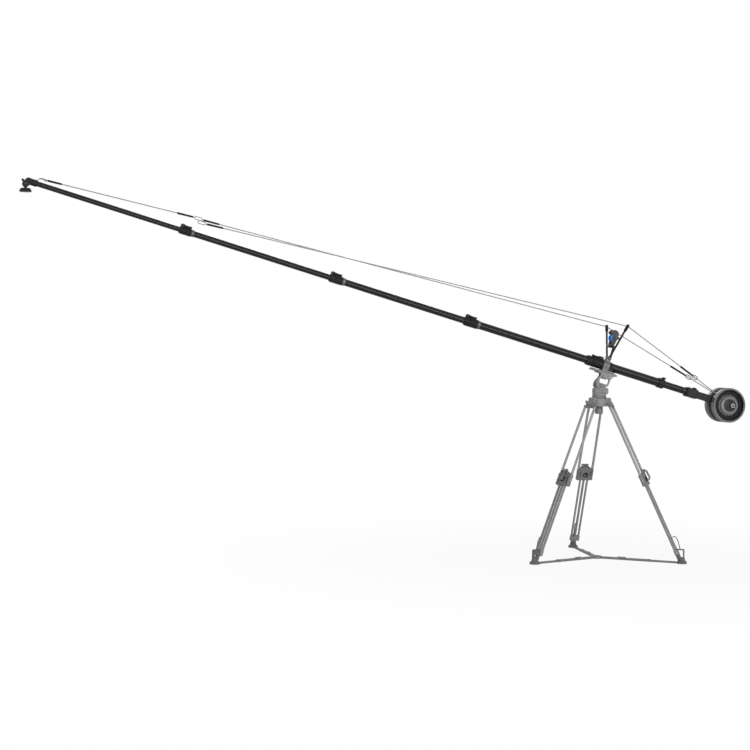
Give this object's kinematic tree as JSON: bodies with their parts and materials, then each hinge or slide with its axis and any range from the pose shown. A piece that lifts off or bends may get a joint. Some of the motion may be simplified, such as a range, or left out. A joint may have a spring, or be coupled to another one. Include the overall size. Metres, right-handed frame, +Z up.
{
  "type": "camera jib crane",
  "caption": "Telescopic camera jib crane: guyed boom with flip-lever collars, V mast with winch, disc counterweights, fluid head, tripod and ground spreader.",
  "frame": {"origin": "on the ground under the pan axis, at the underside of the ground spreader's hub", "axes": "+Z up; +X along the boom towards the counterweights; the tip reaches towards -X; the side seen in the picture is -Y"},
  "size_m": [5.1321, 1.0324, 2.5303],
  "materials": {
    "tube_black": "satin black",
    "clamp_black": "satin black",
    "knob_black": "matt black",
    "bracket_silver": "satin",
    "wire_steel": "satin",
    "bar_black": "satin black",
    "plate_grey": "satin grey",
    "retainer_dark": "satin",
    "winch_grey": "satin",
    "drum_blue": "satin",
    "stand_grey": "satin",
    "stand_dark": "satin",
    "foot_rubber": "matt"
  },
  "bodies": {
    "stand": {"crown": "stand_grey", "head_base": "stand_dark"},
    "pan_head": {"head_body": "stand_grey"},
    "boom_base": {"head_plate": "stand_grey", "pivot_bracket": "bracket_silver", "main_tube": "tube_black", "main_collar": "clamp_black", "mast_strut_near": "clamp_black", "mast_strut_far": "clamp_black", "winch_frame": "winch_grey", "rear_collar": "clamp_black", "front_wire_near": "wire_steel", "front_wire_far": "wire_steel", "rear_wire_near": "wire_steel", "rear_wire_far": "wire_steel"},
    "section_2": {"section_2_tube": "tube_black", "section_2_collar": "clamp_black"},
    "section_3": {"section_3_tube": "tube_black", "section_3_collar": "clamp_black"},
    "section_4": {"section_4_tube": "tube_black", "section_4_collar": "clamp_black", "wire_link": "wire_steel", "tip_wire": "wire_steel"},
    "section_5": {"section_5_tube": "tube_black", "tip_clamp": "clamp_black", "tip_bolt": "knob_black"},
    "camera_mount": {"tip_knuckle": "clamp_black", "camera_flange": "clamp_black"},
    "main_lock": {"main_lever": "knob_black"},
    "section_2_lock": {"section_2_lever": "knob_black"},
    "section_3_lock": {"section_3_lever": "knob_black"},
    "section_4_lock": {"section_4_lever": "knob_black"},
    "winch": {"winch_drum": "drum_blue", "winch_crank": "clamp_black"},
    "tail": {"rear_tube": "tube_black", "tail_clamp": "clamp_black", "weight_bar": "bar_black"},
    "rear_lock": {"rear_knob": "knob_black"},
    "tail_lock": {"tail_knob": "knob_black"},
    "plate_near": {"weight_plate_near": "plate_grey"},
    "retainer_near": {"weight_knob_near": "retainer_dark"},
    "plate_far": {"weight_plate_far": "plate_grey"},
    "retainer_far": {"weight_knob_far": "retainer_dark"},
    "bowl_lock": {"bowl_knob": "stand_dark"},
    "leg_a_top": {"leg_a_upper": "stand_grey"},
    "leg_a_stage": {"leg_a_lower": "stand_dark", "foot_a": "foot_rubber"},
    "leg_a_lock": {"leg_a_lever": "stand_dark"},
    "leg_b_top": {"leg_b_upper": "stand_grey"},
    "leg_b_stage": {"leg_b_lower": "stand_dark", "foot_b": "foot_rubber"},
    "leg_b_lock": {"leg_b_lever": "stand_dark"},
    "leg_c_top": {"leg_c_upper": "stand_grey"},
    "leg_c_stage": {"leg_c_lower": "stand_dark", "foot_c": "foot_rubber"},
    "leg_c_lock": {"leg_c_lever": "stand_dark"},
    "spreader": {"spreader_hub": "stand_dark", "spreader_arm_a": "stand_dark", "spreader_arm_b": "stand_dark", "spreader_arm_c": "stand_dark"}
  },
  "joints": [
    {"name": "head_pan", "type": "hinge", "parent": "stand", "child": "pan_head", "pos_m": [0, 0, 1.16], "axis": [0, 0, 1], "continuous": true},
    {"name": "boom_tilt", "type": "hinge", "parent": "pan_head", "child": "boom_base", "pos_m": [0, 0, 1.227], "axis": [0, 1, 0], "range_deg": [-30, 35]},
    {"name": "section_2_slide", "type": "slide", "parent": "boom_base", "child": "section_2", "axis": [0.9622, 0, -0.2723], "range_m": [0, 0.34]},
    {"name": "section_3_slide", "type": "slide", "parent": "section_2", "child": "section_3", "axis": [0.9622, 0, -0.2723], "range_m": [0, 0.86]},
    {"name": "section_4_slide", "type": "slide", "parent": "section_3", "child": "section_4", "axis": [0.9622, 0, -0.2723], "range_m": [0, 0.86], "deforming": ["front_wire_near", "front_wire_far"]},
    {"name": "section_5_slide", "type": "slide", "parent": "section_4", "child": "section_5", "axis": [0.9622, 0, -0.2723], "range_m": [0, 0.86], "deforming": ["tip_wire"]},
    {"name": "main_lever_flip", "type": "hinge", "parent": "boom_base", "child": "main_lock", "pos_m": [-0.03066, -0.01648, 1.43084], "axis": [-0.9622, 0, 0.2723], "range_deg": [0, 100]},
    {"name": "section_2_lever_flip", "type": "hinge", "parent": "section_2", "child": "section_2_lock", "pos_m": [-0.95039, -0.01527, 1.68797], "axis": [-0.9622, 0, 0.2723], "range_deg": [0, 100]},
    {"name": "section_3_lever_flip", "type": "hinge", "parent": "section_3", "child": "section_3_lock", "pos_m": [-1.91247, -0.01405, 1.95708], "axis": [-0.9622, 0, 0.2723], "range_deg": [0, 100]},
    {"name": "section_4_lever_flip", "type": "hinge", "parent": "section_4", "child": "section_4_lock", "pos_m": [-2.93613, -0.01283, 2.24362], "axis": [-0.9622, 0, 0.2723], "range_deg": [0, 100]},
    {"name": "camera_level", "type": "hinge", "parent": "section_5", "child": "camera_mount", "pos_m": [-3.99092, 0, 2.48623], "axis": [0, 1, 0], "range_deg": [-23, 30]},
    {"name": "winch_turn", "type": "hinge", "parent": "boom_base", "child": "winch", "pos_m": [0.09722, 0, 1.56323], "axis": [0, 1, 0], "continuous": true},
    {"name": "rear_tube_slide", "type": "slide", "parent": "boom_base", "child": "tail", "axis": [0.9622, 0, -0.2723], "range_m": [-0.16, 0], "deforming": ["rear_wire_near", "rear_wire_far"]},
    {"name": "rear_knob_turn", "type": "hinge", "parent": "boom_base", "child": "rear_lock", "pos_m": [0.4937, 0, 1.27748], "axis": [0.2723, 0, 0.9622], "continuous": true},
    {"name": "tail_knob_turn", "type": "hinge", "parent": "tail", "child": "tail_lock", "pos_m": [0.73507, 0, 1.20606], "axis": [0.2723, 0, 0.9622], "continuous": true},
    {"name": "weight_knob_near_off", "type": "slide", "parent": "tail", "child": "retainer_near", "axis": [0, -1, 0], "range_m": [0, 0.08]},
    {"name": "weight_plate_near_off", "type": "slide", "parent": "tail", "child": "plate_near", "axis": [0, -1, 0], "range_m": [0, 0.08]},
    {"name": "weight_knob_far_off", "type": "slide", "parent": "tail", "child": "retainer_far", "axis": [0, 1, 0], "range_m": [0, 0.08]},
    {"name": "weight_plate_far_off", "type": "slide", "parent": "tail", "child": "plate_far", "axis": [0, 1, 0], "range_m": [0, 0.08]},
    {"name": "bowl_knob_turn", "type": "hinge", "parent": "stand", "child": "bowl_lock", "pos_m": [0, 0, 1.05], "axis": [0, 0, 1], "continuous": true},
    {"name": "leg_a_fold", "type": "hinge", "parent": "stand", "child": "leg_a_top", "pos_m": [0.06472, -0.04702, 1.098], "axis": [0.5878, 0.809, 0], "range_deg": [0, 22]},
    {"name": "leg_a_extend", "type": "slide", "parent": "leg_a_top", "child": "leg_a_stage", "axis": [0.3496, -0.254, -0.9018], "range_m": [-0.36, 0]},
    {"name": "leg_a_lever_flip", "type": "hinge", "parent": "leg_a_top", "child": "leg_a_lock", "pos_m": [0.2651, -0.19261, 0.64006], "axis": [-0.5878, -0.809, 0], "range_deg": [0, 110]},
    {"name": "leg_b_fold", "type": "hinge", "parent": "stand", "child": "leg_b_top", "pos_m": [0.00836, 0.07956, 1.098], "axis": [-0.9945, 0.1045, 0], "range_deg": [0, 22]},
    {"name": "leg_b_extend", "type": "slide", "parent": "leg_b_top", "child": "leg_b_stage", "axis": [0.0452, 0.4297, -0.9018], "range_m": [-0.36, 0]},
    {"name": "leg_b_lever_flip", "type": "hinge", "parent": "leg_b_top", "child": "leg_b_lock", "pos_m": [0.03425, 0.32589, 0.64006], "axis": [0.9945, -0.1045, 0], "range_deg": [0, 110]},
    {"name": "leg_c_fold", "type": "hinge", "parent": "stand", "child": "leg_c_top", "pos_m": [-0.07308, -0.03254, 1.098], "axis": [0.4067, -0.9135, 0], "range_deg": [0, 22]},
    {"name": "leg_c_extend", "type": "slide", "parent": "leg_c_top", "child": "leg_c_stage", "axis": [-0.3947, -0.1757, -0.9018], "range_m": [-0.36, 0]},
    {"name": "leg_c_lever_flip", "type": "hinge", "parent": "leg_c_top", "child": "leg_c_lock", "pos_m": [-0.29935, -0.13328, 0.64006], "axis": [-0.4067, 0.9135, 0], "range_deg": [0, 110]},
    {"name": "spreader_drop", "type": "slide", "parent": "stand", "child": "spreader", "axis": [0, 0, -1], "range_m": [0, 0.27]}
  ],
  "couplings": [
    {"joint": "weight_plate_near_off", "follows": "weight_knob_near_off", "ratio": 1},
    {"joint": "weight_plate_far_off", "follows": "weight_knob_far_off", "ratio": 1},
    {"joint": "leg_b_fold", "follows": "leg_a_fold", "ratio": 1},
    {"joint": "leg_c_fold", "follows": "leg_a_fold", "ratio": 1},
    {"joint": "spreader_drop", "follows": "leg_a_fold", "m_per_rad": 0.6875}
  ]
}
